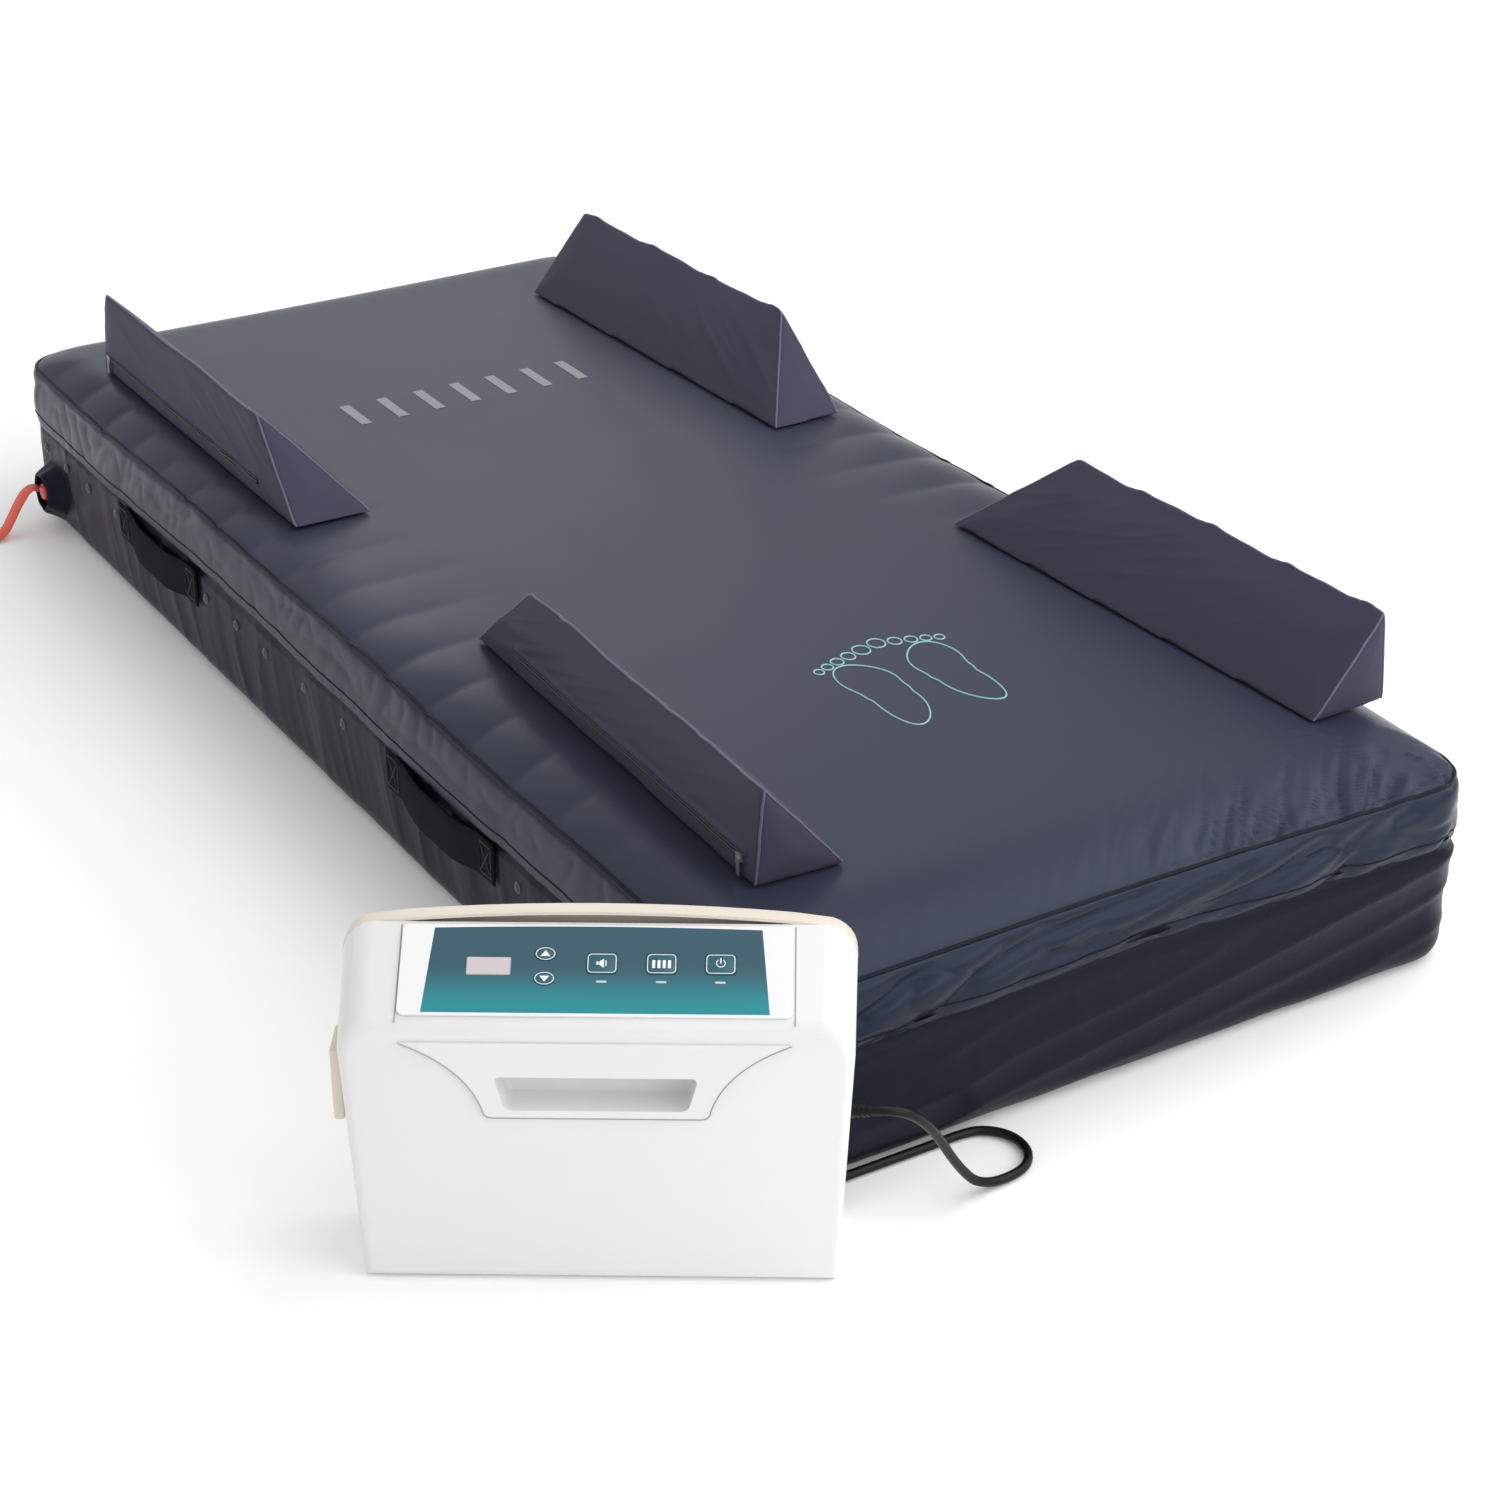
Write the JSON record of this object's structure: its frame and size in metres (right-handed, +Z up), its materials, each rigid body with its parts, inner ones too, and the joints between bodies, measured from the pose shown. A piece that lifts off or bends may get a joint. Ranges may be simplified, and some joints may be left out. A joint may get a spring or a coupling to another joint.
{
  "type": "pressure relief mattress",
  "caption": "Alternating air mattress with stretch cover, cross-wise air cells, side wedge bolsters, carry handles, CPR release and a standing control pump on its power lead.",
  "frame": {"origin": "centre of the mattress's underside, on the surface that it and the pump stand on", "axes": "+Y along the mattress to its head end, +X to the side away from the CPR release, +Z up"},
  "size_m": [1.3172, 2.1737, 0.3678],
  "materials": {
    "stretch_cover": "satin",
    "base_fabric": "satin",
    "bolster_fabric": "satin",
    "foam": "matte",
    "cell_film": "satin",
    "clear_tube": "gloss",
    "black_plastic": "satin",
    "red_plastic": "satin",
    "red_webbing": "matte",
    "black_webbing": "matte",
    "zip_metal": "satin",
    "white_plastic": "satin",
    "cream_plastic": "satin",
    "panel_film": "satin",
    "button_film": "satin",
    "circuit_board": "satin",
    "motor_metal": "satin",
    "plated_steel": "satin",
    "black_rubber": "satin"
  },
  "bodies": {
    "mattress": {"base_cover": "base_fabric", "top_cover": "stretch_cover", "base_bladder": "cell_film", "pillow_cells": "cell_film", "air_cell_01": "cell_film", "air_cell_02": "cell_film", "air_cell_03": "cell_film", "air_cell_04": "cell_film", "air_cell_05": "cell_film", "air_cell_06": "cell_film", "air_cell_07": "cell_film", "air_cell_08": "cell_film", "air_cell_09": "cell_film", "air_cell_10": "cell_film", "air_cell_11": "cell_film", "air_cell_12": "cell_film", "air_cell_13": "cell_film", "air_cell_14": "cell_film", "air_cell_15": "cell_film", "air_cell_16": "cell_film", "air_cell_17": "cell_film", "feed_tube_a": "clear_tube", "feed_tube_b": "clear_tube", "hose_coupling": "black_plastic", "cpr_valve": "black_plastic", "bolster_cover_head_left": "bolster_fabric", "bolster_cover_head_right": "bolster_fabric", "bolster_cover_foot_left": "bolster_fabric", "bolster_cover_foot_right": "bolster_fabric", "bolster_foam_head_left": "foam", "bolster_foam_head_right": "foam", "bolster_foam_foot_left": "foam", "bolster_foam_foot_right": "foam"},
    "cpr_plug": {"cpr_plug": "red_plastic", "cpr_strap": "red_webbing"},
    "carry_handle_head_left": {"carry_handle_head_left": "black_webbing"},
    "carry_handle_head_right": {"carry_handle_head_right": "black_webbing"},
    "carry_handle_foot_left": {"carry_handle_foot_left": "black_webbing"},
    "carry_handle_foot_right": {"carry_handle_foot_right": "black_webbing"},
    "zip_slider_head_left": {"zip_slider_head_left": "zip_metal"},
    "zip_slider_head_right": {"zip_slider_head_right": "zip_metal"},
    "zip_slider_foot_left": {"zip_slider_foot_left": "zip_metal"},
    "zip_slider_foot_right": {"zip_slider_foot_right": "zip_metal"},
    "pump": {"pump_front_housing": "white_plastic", "pump_rear_housing": "cream_plastic", "pump_fascia": "white_plastic", "control_panel": "panel_film", "circuit_board": "circuit_board", "compressor": "motor_metal", "air_outlet_block": "cream_plastic", "strain_relief": "black_rubber", "power_cord": "black_rubber", "cord_coil": "black_rubber", "plug": "black_plastic"},
    "button_up": {"button_up": "button_film"},
    "button_down": {"button_down": "button_film"},
    "button_mute": {"button_mute": "button_film"},
    "button_static": {"button_static": "button_film"},
    "button_power": {"button_power": "button_film"},
    "hanger": {"hanger": "plated_steel"}
  },
  "joints": [
    {"name": "pump_move", "type": "slide", "parent": "mattress", "child": "pump", "axis": [-0.5329, -0.8462, 0], "range_m": [0, 0.25]},
    {"name": "cpr_pull", "type": "slide", "parent": "mattress", "child": "cpr_plug", "axis": [-1, 0, 0], "range_m": [0, 0.03]},
    {"name": "handle_swing_head_left", "type": "hinge", "parent": "mattress", "child": "carry_handle_head_left", "pos_m": [-0.4595, 0.51, 0.144], "axis": [0, 1, 0], "range_deg": [0, 75]},
    {"name": "handle_swing_head_right", "type": "hinge", "parent": "mattress", "child": "carry_handle_head_right", "pos_m": [0.4595, 0.51, 0.144], "axis": [0, -1, 0], "range_deg": [0, 75]},
    {"name": "handle_swing_foot_left", "type": "hinge", "parent": "mattress", "child": "carry_handle_foot_left", "pos_m": [-0.4595, -0.335, 0.144], "axis": [0, 1, 0], "range_deg": [0, 75]},
    {"name": "handle_swing_foot_right", "type": "hinge", "parent": "mattress", "child": "carry_handle_foot_right", "pos_m": [0.4595, -0.335, 0.144], "axis": [0, -1, 0], "range_deg": [0, 75]},
    {"name": "zip_run_head_left", "type": "slide", "parent": "mattress", "child": "zip_slider_head_left", "axis": [0, -1, 0], "range_m": [0, 0.505]},
    {"name": "zip_run_head_right", "type": "slide", "parent": "mattress", "child": "zip_slider_head_right", "axis": [0.0349, -0.9994, 0], "range_m": [0, 0.505]},
    {"name": "zip_run_foot_left", "type": "slide", "parent": "mattress", "child": "zip_slider_foot_left", "axis": [0.0349, 0.9994, 0], "range_m": [0, 0.505]},
    {"name": "zip_run_foot_right", "type": "slide", "parent": "mattress", "child": "zip_slider_foot_right", "axis": [-0.0436, 0.999, 0], "range_m": [0, 0.505]},
    {"name": "press_up", "type": "slide", "parent": "pump", "child": "button_up", "axis": [0.264, 0.4193, -0.8686], "range_m": [0, 0.0007], "stiffness_N_per_m": 4000},
    {"name": "press_down", "type": "slide", "parent": "pump", "child": "button_down", "axis": [0.264, 0.4193, -0.8686], "range_m": [0, 0.0007], "stiffness_N_per_m": 4000},
    {"name": "press_mute", "type": "slide", "parent": "pump", "child": "button_mute", "axis": [0.264, 0.4193, -0.8686], "range_m": [0, 0.0007], "stiffness_N_per_m": 4000},
    {"name": "press_static", "type": "slide", "parent": "pump", "child": "button_static", "axis": [0.264, 0.4193, -0.8686], "range_m": [0, 0.0007], "stiffness_N_per_m": 4000},
    {"name": "press_power", "type": "slide", "parent": "pump", "child": "button_power", "axis": [0.264, 0.4193, -0.8686], "range_m": [0, 0.0007], "stiffness_N_per_m": 4000},
    {"name": "hanger_swing", "type": "hinge", "parent": "pump", "child": "hanger", "pos_m": [-0.57846, -0.936, 0.302], "axis": [0.8462, -0.5329, 0], "range_deg": [0, 90]}
  ]
}
